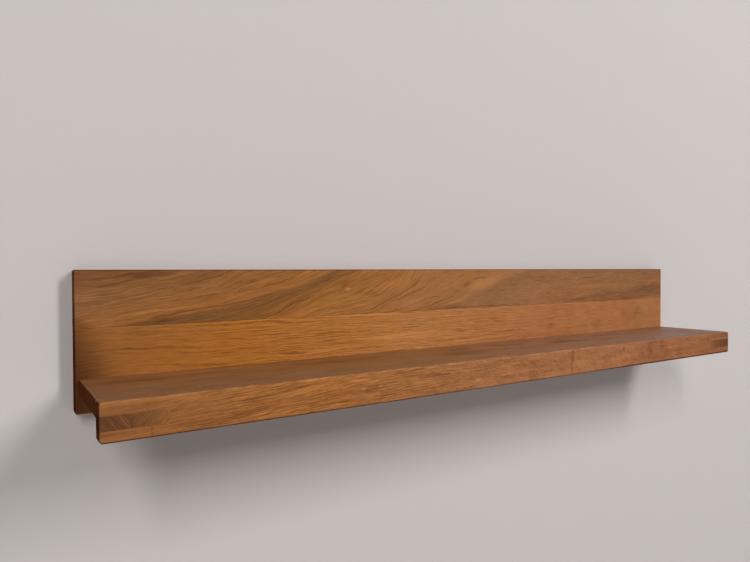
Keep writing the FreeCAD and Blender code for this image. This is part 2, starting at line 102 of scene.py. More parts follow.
# How soft the rim of a patch is: 0 is sharp, and 1 fades from the middle out.
PATCH_EDGE = 0.9
# Where a dash ends and where it is whole, as distances from the middle of its cell.
DASH_RIM = 0.42
DASH_CORE = 0.16
# A face starts to count as an end, or as a top, when the first of these shares of its normal points that
# way, and counts fully from the second on.
TURNED = (0.6, 0.85)


class Field:
    """A value that varies over a surface, held by one output of a node. Arithmetic on it adds Math nodes."""

    def __init__(self, graph, socket):
        self.graph = graph
        self.socket = socket

    def __add__(self, other):
        return self.graph.math("ADD", self, other)

    def __radd__(self, other):
        return self.graph.math("ADD", other, self)

    def __sub__(self, other):
        return self.graph.math("SUBTRACT", self, other)

    def __rsub__(self, other):
        return self.graph.math("SUBTRACT", other, self)

    def __mul__(self, other):
        return self.graph.math("MULTIPLY", self, other)

    def __truediv__(self, other):
        return self.graph.math("DIVIDE", self, other)

    def __abs__(self):
        return self.graph.math("ABSOLUTE", self)


class Graph:
    """The node tree of a material or a world. Most methods add a node or two and return what they give."""

    # How far each seed moves a random pattern, so that every pattern shows a stretch of its own.
    SEED_STEP = (17.3, 41.9, 29.7)
    # The sockets of a Mix node for colours, by number, because their names repeat.
    MIX_SHARE, MIX_UNDER, MIX_OVER, MIX_RESULT = 0, 6, 7, 2

    def __init__(self, owner):
        self.owner = owner
        owner.use_nodes = True
        self.tree = owner.node_tree
        self.tree.nodes.clear()

    def add(self, kind, inputs=None, **settings):
        """A node of this kind, with its settings and the values or links of its inputs."""
        node = self.tree.nodes.new(kind)
        for name, value in settings.items():
            setattr(node, name, value)
        for name, value in (inputs or {}).items():
            self.feed(node.inputs[name], value)
        return node

    def feed(self, socket, value):
        """Links a field or another node's output to this socket, or sets a plain value on it."""
        if isinstance(value, Field):
            self.tree.links.new(value.socket, socket)
        elif isinstance(value, bpy.types.NodeSocket):
            self.tree.links.new(value, socket)
        else:
            socket.default_value = value

    def math(self, operation, *terms):
        node = self.add("ShaderNodeMath", operation=operation)
        for socket, term in zip(node.inputs, terms):
            self.feed(socket, term)
        return Field(self, node.outputs[0])

    def step(self, value, low, high, start=0.0, end=1.0, smooth=True):
        """Goes from start to end while value goes from low to high, and stays there."""
        kind = "SMOOTHSTEP" if smooth else "LINEAR"
        inputs = {"Value": value, "From Min": low, "From Max": high, "To Min": start, "To Max": end}
        node = self.add("ShaderNodeMapRange", inputs, interpolation_type=kind, clamp=True)
        return Field(self, node.outputs["Result"])

    def point(self, x, y, z):
        return self.add("ShaderNodeCombineXYZ", {"X": x, "Y": y, "Z": z}).outputs["Vector"]

    def scaled(self, place, size, seed):
        """place in units of size, moved to a stretch of the pattern of its own for each seed."""
        node = self.add("ShaderNodeVectorMath", operation="MULTIPLY_ADD")
        self.feed(node.inputs[0], place)
        self.feed(node.inputs[1], tuple(1 / s for s in size))
        self.feed(node.inputs[2], tuple(seed * s for s in self.SEED_STEP))
        return node.outputs["Vector"]

    def noise(self, place, size, seed, detail=2.0, roughness=0.5):
        """Soft random values, mostly within a half of 0. size is a bump's length, depth and height."""
        vector = self.scaled(place, size, seed)
        inputs = {"Vector": vector, "Scale": 1.0, "Detail": detail, "Roughness": roughness}
        return Field(self, self.add("ShaderNodeTexNoise", inputs, normalize=False).outputs["Fac"])

    def dashes(self, place, size, share, seed):
        """1 on short dashes of about this size and 0 between them. share is how many cells hold one."""
        cells = self.add("ShaderNodeTexVoronoi", {"Vector": self.scaled(place, size, seed), "Scale": 1.0})
        chance = self.add("ShaderNodeSeparateColor", {"Color": cells.outputs["Color"]}).outputs["Red"]
        kept = self.math("LESS_THAN", Field(self, chance), share)
        return self.step(Field(self, cells.outputs["Distance"]), DASH_RIM, DASH_CORE) * kept

    def curve(self, along, points):
        """The rise of a line drawn through points of (along, rise) and level beyond them."""
        before = [(0.0, points[0][1])] if points[0][0] > 0 else []
        after = [(LENGTH, points[-1][1])] if points[-1][0] < LENGTH else []
        marks = [(x / LENGTH, y / CURVE_TOP) for x, y in before + points + after]
        node = self.add("ShaderNodeFloatCurve", {"Value": along / LENGTH})
        line = node.mapping.curves[0]
        line.points[0].location = marks[0]
        line.points[1].location = marks[-1]
        for mark in marks[1:-1]:
            line.points.new(*mark)
        for mark in line.points:
            mark.handle_type = "AUTO_CLAMPED"
        node.mapping.update()
        return Field(self, node.outputs["Value"]) * CURVE_TOP

    def spot(self, along, rise, centre, half, tilt=0.0, edge=PATCH_EDGE):
        """1 in an oval about centre and 0 outside it. half is half its length and half its height.

        tilt is its rise for each millimetre along.
        """
        across = (along - centre[0]) / half[0]
        up = (rise - centre[1] - (along - centre[0]) * tilt) / half[1]
        return self.step(across * across + up * up, 1 + edge, 1 - edge)

    def trace(self, along, rise, points, half_width):
        """1 on a thin line through points of (along, rise), fading out at its two ends."""
        away = abs(rise - self.curve(along, points))
        first, last = points[0][0], points[-1][0]
        ends = self.step(along, first, first + LINE_FADE) * self.step(along, last, last - LINE_FADE)
        return self.step(away, half_width, 0.0) * ends

    def traces(self, along, rise, lines, half_width):
        """1 on any of several thin lines."""
        together = 0.0
        for points in lines:
            together = self.math("MAXIMUM", together, self.trace(along, rise, points, half_width))
        return together

    def marks(self, along, rise, spots):
        """Soft ovals added up. Each is (along, rise, half length, half height, tilt, strength)."""
        total = 0.0
        for middle, height, half_length, half_height, tilt, strength in spots:
            oval = self.spot(along, rise, (middle, height), (half_length, half_height), tilt)
            total = total + oval * strength
        return total

    def ramp(self, value, stops):
        """The colour at value, read between stops of (value, colour)."""
        first, last = stops[0][0], stops[-1][0]
        node = self.add("ShaderNodeValToRGB", {"Fac": (value - first) / (last - first)})
        marks = node.color_ramp.elements
        for mark, (_, colour) in zip(marks, (stops[0], stops[-1])):
            mark.color = colour
        for position, colour in stops[1:-1]:
            marks.new((position - first) / (last - first)).color = colour
        return node.outputs["Color"]

    def blend(self, share, under, over, kind="MIX"):
        """The colour under, with this share of the colour over on it."""
        node = self.add("ShaderNodeMix", data_type="RGBA", blend_type=kind, clamp_factor=True)
        self.feed(node.inputs[self.MIX_SHARE], share)
        self.feed(node.inputs[self.MIX_UNDER], under)
        self.feed(node.inputs[self.MIX_OVER], over)
        return node.outputs[self.MIX_RESULT]

    def tinted(self, colour, tint):
        """One colour times another."""
        return self.blend(1.0, colour, tint, "MULTIPLY")

    def shaded(self, colour, value, dark, light):
        """colour times a tint that goes from dark to light as value goes from 0 to 1."""
        return self.tinted(colour, self.blend(value, opaque(dark), opaque(light)))

    def finish(self, colour, roughness, height, bump, **others):
        """Ends the tree in a Principled shader. height is the relief, and bump its depth in millimetres."""
        relief = self.add("ShaderNodeBump", {"Height": height, "Strength": 1.0, "Distance": bump * MM})
        inputs = {"Base Color": colour, "Roughness": roughness, "Normal": relief.outputs["Normal"], **others}
        shader = self.add("ShaderNodeBsdfPrincipled", inputs)
        output = self.add("ShaderNodeOutputMaterial", {"Surface": shader.outputs["BSDF"]})
        output.is_active_output = True
        return self.owner


def opaque(tint):
    """A tint of three shares as a colour that a node takes."""
    return (*tint, 1.0)


def shown(red, green, blue):
    """A colour as a screen shows it, 0 to 255, turned into a node's linear values by the sRGB curve."""
    levels = [value / 255 for value in (red, green, blue)]
    return opaque([v / 12.92 if v <= 0.04045 else ((v + 0.055) / 1.055) ** 2.4 for v in levels])


def tones(*stops):
    """Stops for a ramp, each given as its place and the three numbers that shown takes."""
    return [(place, shown(*colour)) for place, *colour in stops]


class Board:
    """Where a point of the shelf lies, for a material's pattern: along, depth and rise, in millimetres.

    place is all three. on_end is 1 on the faces that look along the shelf, and on_top on those that look up.
    """

    def __init__(self, name):
        self.graph = Graph(bpy.data.materials.new(name))
        g = self.graph
        spot = g.add("ShaderNodeTexCoord")
        parts = g.add("ShaderNodeSeparateXYZ", {"Vector": spot.outputs["Object"]}).outputs
        self.along = Field(g, parts["X"]) / MM - LEFT_END
        self.depth = Field(g, parts["Y"]) / -MM
        self.rise = Field(g, parts["Z"]) / MM - FOOT
        self.place = g.point(self.along, self.depth, self.rise)
        facing = g.add("ShaderNodeSeparateXYZ", {"Vector": spot.outputs["Normal"]}).outputs
        self.on_end = g.step(abs(Field(g, facing["X"])), *TURNED)
        self.on_top = g.step(Field(g, facing["Z"]), *TURNED)


# ---------------------------------------------------------------------------------------------------------
# Woods
# ---------------------------------------------------------------------------------------------------------

# Tints, which a wood's colour is multiplied by.
PLAIN = (1.0, 1.0, 1.0)
DARK_LINE = (0.58, 0.54, 0.50)
LIGHT_LINE = (1.30, 1.38, 1.55)
PORE = (0.55, 0.48, 0.42)
ARRIS_DARK = (0.48, 0.39, 0.33)
# End-grain tints: darker than the faces, partly end grain's own tone and partly painted shade. The darker one
# also paints the shade at the lip's foot.
END_GRAIN_AND_SHADE_DARK = (0.30, 0.18, 0.085)
END_GRAIN_AND_SHADE_LIGHT = (0.60, 0.38, 0.20)

FACE_SPECULAR = 0.14  # how strongly oiled wood mirrors on its faces
END_SPECULAR = 0.01  # and on its cut ends
PORE_RELIEF = 0.6  # how deep the pores are in the relief, where the grain is about 1
ROW_RUN = 22  # how long the dashes in a row of grain are, in millimetres


def fibres(g, place, size, seed):
    """Grain along the board, as values about 0: streaks of this size over broader ones."""
    length, depth, height = size
    broad = g.noise(place, (length * 2.2, depth * 2, height * 2.6), detail=1, seed=seed + 50)
    return g.noise(place, size, detail=2, roughness=0.6, seed=seed) + broad * 0.32


def rows(g, along, depth, rise, pitch, seed, gaps=-0.3):
    """Fine parallel lines of grain about pitch apart and broken into dashes, as values about 0.

    The lower gaps is, the fewer gaps there are between the dashes.
    """
    drift = g.noise(g.point(along, depth, rise), (240, 60, 11), detail=1, seed=seed) * 6
    line = g.math("SINE", (rise + drift) * (2 * math.pi / pitch))
    kept = g.noise(g.point(along, depth, rise + drift), (ROW_RUN, 8, pitch * 1.1), detail=1, seed=seed + 1)
    return line * g.step(kept, gaps, 0.5)


def pores(g, place, share, seed):
    """Open vessels: broken dark hairlines along the grain, with short fine dashes between them."""
    vessels = g.noise(place, (20, 4, 0.65), detail=1, seed=seed)
    hairlines = g.step(vessels, 0.55 - share, 0.72 - share)
    fine = g.dashes(place, (11, 1.4, 0.9), share, seed + 1)
    return g.math("MAXIMUM", hairlines, fine * 0.6)


def end_grain(board, colour, seed):
    """The same wood cut across: darker, from end grain and painted shade, with rings across it and pores as
    points.
    """
    g = board.graph
    sway = g.noise(board.place, (40, 16, 30), seed=seed) * 3
    rings = g.noise(g.point(0.0, board.depth + board.rise * 0.35 + sway, 0.0), (1, 1.6, 1), seed=seed + 1)
    points = g.dashes(board.place, (2, 0.7, 0.7), 0.5, seed + 2)
    cut = g.shaded(colour, rings + 0.5, END_GRAIN_AND_SHADE_DARK, END_GRAIN_AND_SHADE_LIGHT)
    cut = g.shaded(cut, points, PLAIN, PORE)
    return g.blend(board.on_end, colour, cut)


def oiled(board, colour, relief, roughness, bump=0.05, sawn=0.0):
    """Oiled wood: a low satin, rougher where the grain is open, on cut ends and where sawn is 1."""
    g = board.graph
    handled = g.noise(board.place, (70, 30, 30), detail=2, seed=91)
    raw = g.math("MAXIMUM", board.on_end * 0.45, sawn * 0.35)
    rough = roughness - relief * 0.06 + handled * 0.05 + raw
    specular = FACE_SPECULAR - board.on_end * (FACE_SPECULAR - END_SPECULAR)
    return g.finish(colour, rough, relief, bump, **{"Specular IOR Level": specular})


# Growth lines of the upper stave, each as points of (along, rise). They come in at the left end or through
# the seam, sweep up to the right and leave at the top or the right end, and no line crosses the next. With
# each goes how many year rings lie between it and the next.
GROWTH_LINES = [
    ([(0, 151), (30, 153), (60, 157), (90, 162), (130, 171), (180, 192), (250, 240)], 10),
    ([(0, 108), (80, 120), (160, 129), (200, 136), (240, 145), (280, 157), (330, 178), (430, 236)], 3),
    ([(0, 97), (60, 103), (100, 109), (140, 115), (200, 126), (240, 135), (300, 150), (330, 160),
      (365, 180), (440, 232)], 6),
    ([(0, 60), (235, 104), (262, 114), (300, 131), (340, 153), (385, 174), (450, 228)], 8),
    ([(0, 40), (240, 92), (290, 102), (320, 114), (350, 120), (400, 127), (425, 131), (440, 139),
      (470, 154), (484, 172), (530, 224)], 4),
    ([(0, 30), (320, 94), (345, 102), (400, 108), (450, 119), (480, 131), (510, 150), (528, 172),
      (570, 220)], 8),
    ([(0, 20), (440, 96), (490, 104), (550, 118), (600, 134), (650, 160), (680, 180), (760, 216)], 4),
    ([(0, 15), (500, 96), (545, 104), (600, 118), (640, 134), (690, 152), (750, 170), (860, 212)], 10),
    ([(0, 10), (660, 96), (700, 104), (760, 128), (820, 158), (855, 180), (940, 208)], 14),
    ([(0, 5), (780, 98), (840, 106), (900, 113), (950, 122), (1080, 133), (1200, 141)], 6),
    ([(0, 0), (900, 90), (1000, 98), (1090, 104), (1120, 111), (1200, 115)], 0),
]
RING_WIDTH = 4.0
RING_SLANT = 0.15  # how far the pattern slides down for each millimetre towards the room

# The upper stave's colour at each ring count.
UPPER_TONES = tones(
    (-7, 124, 77, 38), (-1.5, 116, 71, 34), (0.5, 128, 82, 41), (6, 134, 86, 44), (9, 138, 87, 41),
    (10.6, 146, 92, 43), (12.4, 143, 90, 41), (13.3, 118, 76, 36), (15, 117, 75, 36), (17, 122, 78, 36),
    (19, 133, 85, 38), (21, 146, 92, 41), (26, 150, 95, 43), (28, 153, 98, 47), (35, 151, 98, 50),
    (41, 150, 100, 56), (43, 153, 103, 61), (44.5, 138, 95, 57), (50, 140, 96, 60), (58, 142, 97, 61),
    (65, 145, 97, 58), (66.7, 148, 99, 60), (67.8, 139, 92, 54), (72.4, 134, 89, 52), (73.6, 146, 96, 57),
    (79, 148, 97, 57),
)

# How the upper stave's colour changes along it: greyer at the left end as painted sheen, and darker towards
# the right end as painted shade against the lamps and sheen there.
UPPER_TONE_SHEEN_AND_SHADE = [
    (0, (0.94, 0.95, 1.06, 1.0)), (120, (1.0, 0.99, 0.90, 1.0)), (250, (1.02, 0.98, 0.80, 1.0)),
    (350, (0.96, 0.95, 0.82, 1.0)), (520, (1.0, 0.98, 0.98, 1.0)), (800, (0.96, 0.90, 0.82, 1.0)),
    (1000, (0.86, 0.82, 0.73, 1.0)), (1200, (0.74, 0.69, 0.62, 1.0)),
]

# Thin dark lines and thin pale lines of the upper stave, each as points of (along, rise).
UPPER_DARK_LINES = [
    [(20, 151), (45, 155), (72, 160)],
    [(120, 152), (150, 158), (185, 168), (200, 173)],
    [(80, 111), (120, 116), (160, 122), (200, 127), (240, 136), (270, 144)],
    [(228, 103), (245, 106), (262, 112), (275, 120), (300, 128), (322, 134)],
    [(325, 153), (350, 160), (380, 167), (400, 172)],
    [(350, 133), (362, 141), (372, 150), (384, 158)],
    [(395, 134), (430, 148), (455, 162), (464, 170)],
    [(420, 129), (440, 139), (470, 154), (482, 171)],
    [(395, 107), (440, 120), (470, 132), (505, 150), (523, 171)],
    [(395, 103), (450, 118), (480, 129), (520, 142), (548, 159)],
    [(435, 103), (470, 108), (500, 115), (560, 127)],
    [(485, 104), (530, 112), (575, 124), (602, 135)],
    [(622, 154), (645, 157), (668, 158)],
    [(560, 106), (640, 107), (720, 107)],
    [(900, 150), (930, 154), (965, 155)],
    [(860, 108), (900, 111), (940, 114)],
]
UPPER_PALE_LINES = [
    [(10, 128), (60, 136), (120, 146)],
    [(60, 118), (120, 122), (180, 130), (235, 143)],
    [(240, 112), (260, 118), (290, 133), (320, 143), (336, 153)],
    [(285, 101), (305, 110), (320, 114), (350, 121), (380, 127), (422, 131)],
    [(310, 102), (340, 108), (380, 114), (420, 119)],
    [(425, 134), (446, 146), (476, 158), (486, 171)],
    [(440, 117), (478, 131), (512, 146), (530, 160)],
    [(560, 112), (590, 117), (625, 128)],
    [(1100, 146), (1150, 146), (1198, 147)],
]
DARK_LINE_HALF_WIDTH = 1.5
PALE_LINE_HALF_WIDTH = 1.2

# Soft patches of the upper stave: along, rise, half length, half height, tilt, and how much paler or darker.
UPPER_PATCHES = [
    (397, 140, 9, 4, 0.2, -0.22), (368, 150, 6, 4, 0.5, -0.15), (374, 138, 10, 3, 0.0, -0.12),
    (613, 146, 7, 4, 0.3, -0.26), (656, 148, 40, 7.0, 0.24, 0.20), (85, 166, 30, 4, 0.05, -0.4),
    (560, 107, 40, 4, 0.08, -0.3), (905, 112, 50, 3.5, 0.06, -0.12), (985, 119, 60, 3.5, 0.06, -0.16),
    (1075, 110, 24, 3.5, 0.0, -0.25), (1160, 129, 62, 8.0, 0.1, -0.18), (980, 137, 85, 5.0, 0.0, 0.2),
    # The patch at along 0, rise 100 is painted shadow: the lower stave's left-end shadow, carried on above the
    # seam.
    (88, 105, 34, 5.0, 0.12, -0.28), (275, 113, 22, 5, 0.4, -0.25), (0, 100, 22, 12, -0.2, -0.5),
    (770, 130, 50, 14, 0.3, 0.12), (90, 113, 40, 4, 0.1, -0.12), (1180, 109, 60, 3.5, 0.07, 0.22),
    (880, 107, 50, 3.5, 0.03, 0.12), (400, 155, 46, 9, 0.2, -0.13), (505, 119, 36, 9, 0.25, 0.13),
    (780, 153, 80, 9, 0.0, -0.12),
]

# The pale eye of the upper stave: its middle, half its length and height, how soft its rim is, its colour.
EYE = (374, 142)
EYE_HALF = (5.0, 2.4)
EYE_EDGE = 0.7
EYE_COLOUR = shown(180, 122, 78)

# Changes in the upper stave, each as the places where it starts and where it is complete.
UPPER_CALMS = (300, 450)  # along: the streaks calm down
UPPER_STRAIGHTENS = (560, 760)  # along: the swept grain turns straight
UPPER_END_HIGHLIGHT = (118, 160)  # rise: a painted highlight on the cut ends sets in
UPPER_END_HIGHLIGHT_TINT = (1.9, 2.3, 2.6)
SEAM_DARK = (0.9, 0.3)  # distance above the seam: its dark line sets in
TOP_ARRIS_RISE = (RISE - 2.4, RISE - 0.6)  # rise, and below it depth: the arris of the top edge darkens
TOP_ARRIS_DEPTH = (BACK_THICKNESS - 4, BACK_THICKNESS - 1)


def ring_count(g, along, rise):
    """How many year rings a point of the upper stave lies below the first growth line."""
    lines = [g.curve(along, points) for points, _ in GROWTH_LINES]
    count = g.math("MINIMUM", (lines[0] - rise) / RING_WIDTH, 0.0)
    for (_, rings), upper, lower in zip(GROWTH_LINES, lines, lines[1:]):
        count = count + g.step(rise, upper, lower, 0.0, float(rings), smooth=False)
    return count + g.math("MAXIMUM", (lines[-1] - rise) / RING_WIDTH, 0.0)


def seam_rise(along):
    """How high the seam between the back's two staves lies."""
    return along * ((SEAM_RIGHT - SEAM_LEFT) / LENGTH) + SEAM_LEFT


def upper_edges(board, colour):
    """The seam's dark line, the dark arris of the top edge, and the cut ends, with a painted highlight towards
    the top.
    """
    g, rise = board.graph, board.rise
    seam = g.step(rise - seam_rise(board.along), *SEAM_DARK)
    top_arris = g.step(rise, *TOP_ARRIS_RISE) * g.step(board.depth, *TOP_ARRIS_DEPTH)
    colour = g.shaded(colour, g.math("MAXIMUM", seam * 0.6, top_arris), PLAIN, ARRIS_DARK)
    colour = end_grain(board, colour, 11)
    return g.shaded(colour, board.on_end * g.step(rise, *UPPER_END_HIGHLIGHT), PLAIN, UPPER_END_HIGHLIGHT_TINT)


def back_upper_wood():
    """Flat-sawn wood with sweeping growth lines, dark olive heartwood streaks and a pale eye."""
    board = Board("back_upper_wood")
    g, along, depth, rise = board.graph, board.along, board.depth, board.rise
    ripple = g.noise(board.place, (16, 20, 7), detail=1, seed=2) * 1.1
    wander = g.noise(board.place, (80, 60, 30), seed=1) * 1.5 + ripple
    count = ring_count(g, along, rise + wander + (depth - BACK_THICKNESS) * RING_SLANT)
    colour = g.tinted(g.ramp(count, UPPER_TONES), g.ramp(along, UPPER_TONE_SHEEN_AND_SHADE))
    calm = g.step(along, *UPPER_CALMS)
    straight = g.step(along, *UPPER_STRAIGHTENS)
    flow = g.point(along, depth, count * RING_WIDTH)
    rings = g.noise(g.point(count, along, depth), (0.7, 110, 60), detail=2, roughness=0.6, seed=3)
    lines = rows(g, along, depth, count * RING_WIDTH, 2.6, 9) * (1 - straight)
    fibre = fibres(g, flow, (34, 6, 0.9), 5) * (1 - straight)
    fibre = fibre + fibres(g, g.point(along, depth, rise + ripple), (15, 6, 1.1), 7) * straight * 1.2
    cloud = g.noise(board.place, (50, 30, 18), detail=2, seed=6)
    dark_lines = g.traces(along, rise + ripple, UPPER_DARK_LINES, DARK_LINE_HALF_WIDTH)
    pale_lines = g.traces(along, rise + ripple, UPPER_PALE_LINES, PALE_LINE_HALF_WIDTH)
    patches = g.marks(along, rise + ripple, UPPER_PATCHES)
    open_grain = pores(g, flow, 0.24, 8) * (1 - straight * 0.6)
    value = rings * (0.16 - calm * 0.11) + fibre * (0.34 - calm * 0.12)
    value = value + lines * (0.22 - calm * 0.10) + cloud * 0.13 + 0.5
    value = value + patches - dark_lines * 0.55 + pale_lines * 0.45
    colour = g.shaded(colour, value, DARK_LINE, LIGHT_LINE)
    colour = g.shaded(colour, open_grain * 0.5, PLAIN, PORE)
    eye = g.spot(along, rise, EYE, EYE_HALF, edge=EYE_EDGE) * (0.55 + cloud * 0.4)
    colour = upper_edges(board, g.blend(eye, colour, EYE_COLOUR))
    return oiled(board, colour, fibre - open_grain * PORE_RELIEF, roughness=0.55, sawn=board.on_top)


LOWER_TONES = tones(
    (0, 138, 85, 38), (200, 160, 97, 32), (500, 169, 110, 56), (800, 162, 103, 56), (1200, 154, 98, 54),
)

# Soft patches of the lower stave, given as the upper one's are.
LOWER_PATCHES = [
    (65, 74, 16, 1.6, 0.0, -0.3), (110, 73, 50, 1.6, -0.06, -0.25), (220, 63, 22, 1.2, 0.0, -0.35),
    (182, 60, 20, 1.2, 0.0, -0.3), (340, 76, 22, 1.6, 0.0, -0.3), (365, 61, 36, 1.3, 0.0, -0.3),
    (520, 86, 42, 1.4, 0.0, -0.3), (490, 65, 72, 5.0, 0.0, 0.25), (1106, 78, 13, 9, 0.9, -0.2),
    (970, 60, 20, 9, 0.0, -0.14), (430, 90, 30, 1.4, 0.0, -0.2), (640, 70, 18, 1.6, 0.0, -0.25),
    (700, 58, 20, 2.0, 0.0, -0.2), (830, 62, 16, 4.0, 0.0, -0.18), (800, 46, 130, 6.0, 0.0, -0.13),
    (590, 62, 34, 6.0, 0.0, 0.12),
]

# Changes in the lower stave, as above.
LOWER_SETS_IN = (40, 260)  # along: the lines and strokes set in
LOWER_CALMS = (450, 900)  # along: the grain calms down
SEAM_PALE = (1.6, 0.7)  # distance below the seam: its pale line sets in

# Painted shade that lies only on the front of the lower stave: a painted shadow over its left end, and painted
# shade below the shelf.
FRONT_REACHED = (6, BACK_THICKNESS - 2)  # depth: the painted shadow and shade set in
LEFT_END_PAINTED_SHADOW = (65, -3)  # along: the painted shadow over the left end sets in
LEFT_END_SHADOW_LEAN = 0.4  # how far that painted shadow draws back to the left for each millimetre above the shelf
LEFT_END_SHADOW_TINT = (0.28, 0.21, 0.07)
BELOW_SHELF_SHADE = (SHELF_FOOT + 2, SHELF_FOOT - 2)  # rise: painted shade sets in below the shelf
BELOW_SHELF_SHADE_TINT = (0.95, 0.81, 0.66)


def lower_edges(board, colour):
    """The painted shadow and shade on the front, the seam's pale line and the cut ends."""
    g, along, rise = board.graph, board.along, board.rise
    in_front = g.step(board.depth, *FRONT_REACHED)
    colour = g.shaded(colour, g.step(rise, *BELOW_SHELF_SHADE) * in_front, PLAIN, BELOW_SHELF_SHADE_TINT)
    above_shelf = g.math("MAXIMUM", rise - SHELF_LEVEL, 0.0)
    left_end_shadow = g.step(along + above_shelf * LEFT_END_SHADOW_LEAN, *LEFT_END_PAINTED_SHADOW) * in_front
    colour = g.shaded(colour, left_end_shadow, PLAIN, LEFT_END_SHADOW_TINT)
    seam = g.step(seam_rise(along) - rise, *SEAM_PALE)
    return end_grain(board, g.shaded(colour, seam * 0.5, PLAIN, LIGHT_LINE), 31)


def back_lower_wood():
    """Straight, lightly waved grain with many short dark dashes, smoother and pinker to the right."""
    board = Board("back_lower_wood")
    g, along, depth, rise = board.graph, board.along, board.depth, board.rise
    wave = g.noise(board.place, (60, 60, 30), seed=21) * 1.8
    wave = wave + g.noise(board.place, (14, 20, 6), seed=20) * 0.8
    place = g.point(along, depth, rise + wave)
    to_right = g.step(along, *LOWER_CALMS, smooth=False)
    fibre = g.noise(place, (26, 6, 1.3), detail=0, seed=22)
    lines = rows(g, along, depth, rise + wave, 3.9, 28, gaps=-0.7)
    lines = lines - abs(lines) * 0.35
    line_share = g.step(along, *LOWER_SETS_IN, 0.12, 0.38) - to_right * 0.25
    broad = g.noise(board.place, (150, 50, 9), detail=2, seed=24)
    mottle = g.noise(g.point(along + rise * 0.25, depth, rise), (26, 50, 30), detail=2, seed=26) * to_right
    open_grain = pores(g, place, 0.26, 25)
    strokes = g.dashes(place, (18, 6, 0.95), 0.5, 27) * g.step(along, *LOWER_SETS_IN, 0.3, 1.0)
    value = fibre * 0.26 + lines * line_share + broad * 0.05 + mottle * 0.12 + 0.53
    value = value + g.marks(along, rise + wave, LOWER_PATCHES) - strokes * (0.18 - to_right * 0.10)
    colour = g.shaded(g.ramp(along, LOWER_TONES), value, DARK_LINE, LIGHT_LINE)
    colour = g.shaded(colour, open_grain * (0.46 - to_right * 0.2), PLAIN, PORE)
    colour = lower_edges(board, colour)
    return oiled(board, colour, fibre - open_grain * PORE_RELIEF, roughness=0.55)


# The shelf's colour along it. Its grey is partly painted sheen, and the last stop is darker as painted shade
# against the lamps and sheen at the right end.
SHELF_TONES = tones(
    (0, 124, 84, 55), (400, 131, 91, 54), (700, 136, 96, 69), (1020, 133, 97, 76), (1200, 120, 85, 65),
)

# Soft patches of the shelf's top: along, depth, half length, half depth, slant, and how much paler or
# darker. The dark ones are olive stains.
SHELF_PATCHES = [
    (792, 89, 42, 10, 0.2, -0.5), (650, 66, 32, 8, 0.15, -0.35), (545, 102, 52, 19, 0.0, -0.32),
    (556, 59, 24, 7, 0.0, -0.3), (150, 40, 60, 8, 0.0, 0.2), (330, 60, 80, 12, 0.0, -0.22),
    (60, 60, 40, 14, 0.0, -0.2), (980, 112, 50, 12, 0.0, 0.1), (930, 60, 50, 7, 0.1, -0.2),
    (1110, 120, 60, 22, 0.0, -0.14),
]
STAIN_TINT = (0.98, 0.9, 0.55)

SHELF_BACK_SHADE_REFLECT = (DEPTH, BACK_THICKNESS)  # depth: painted shade and a painted reflection of the back board turn the shelf browner from its front to the back board
SHELF_BACK_SHADE_REFLECT_TINT = (1.0, 0.88, 0.72)


def shelf_wood():
    """Straight grain under a worn satin, paler and greyer in random patches."""
    board = Board("shelf_wood")
    g, along, depth = board.graph, board.along, board.depth
    sway = g.noise(board.place, (90, 30, 30), seed=40) * 4
    grain_place = g.point(along, board.rise, depth + sway)
    fibre = fibres(g, grain_place, (60, 7, 1.8), 41)
    open_grain = pores(g, grain_place, 0.2, 44)
    worn = g.noise(board.place, (60, 24, 30), detail=3, roughness=0.6, seed=46)
    patches = g.marks(along, depth + worn * 8, SHELF_PATCHES) * board.on_top
    colour = g.ramp(along, SHELF_TONES)
    colour = g.shaded(colour, g.step(depth, *SHELF_BACK_SHADE_REFLECT), PLAIN, SHELF_BACK_SHADE_REFLECT_TINT)
    colour = g.shaded(colour, 0.0 - patches, PLAIN, STAIN_TINT)
    value = fibre * 0.30 + worn * 0.21 + 0.5 + patches
    colour = g.shaded(colour, value, DARK_LINE, LIGHT_LINE)
    colour = g.shaded(colour, open_grain * 0.35, PLAIN, PORE)
    colour = end_grain(board, colour, 51)
    return oiled(board, colour, fibre - open_grain * PORE_RELIEF, 0.46 + worn * 0.08, bump=0.03)


# The lip's colour along it. The last stop is darker as painted shade against the lamps and sheen at the right
# end.
LIP_TONES = tones(
    (0, 131, 81, 40), (110, 135, 83, 38), (250, 147, 91, 40), (520, 146, 94, 54), (740, 152, 97, 59),
    (1060, 145, 89, 49), (1200, 127, 78, 44),
)

# How far the lip's grain has climbed at each place along it, as points of (along, rise).
LIP_CLIMB = [(0, 0), (80, 14), (250, 40), (420, 56), (700, 68), (1200, 80)]

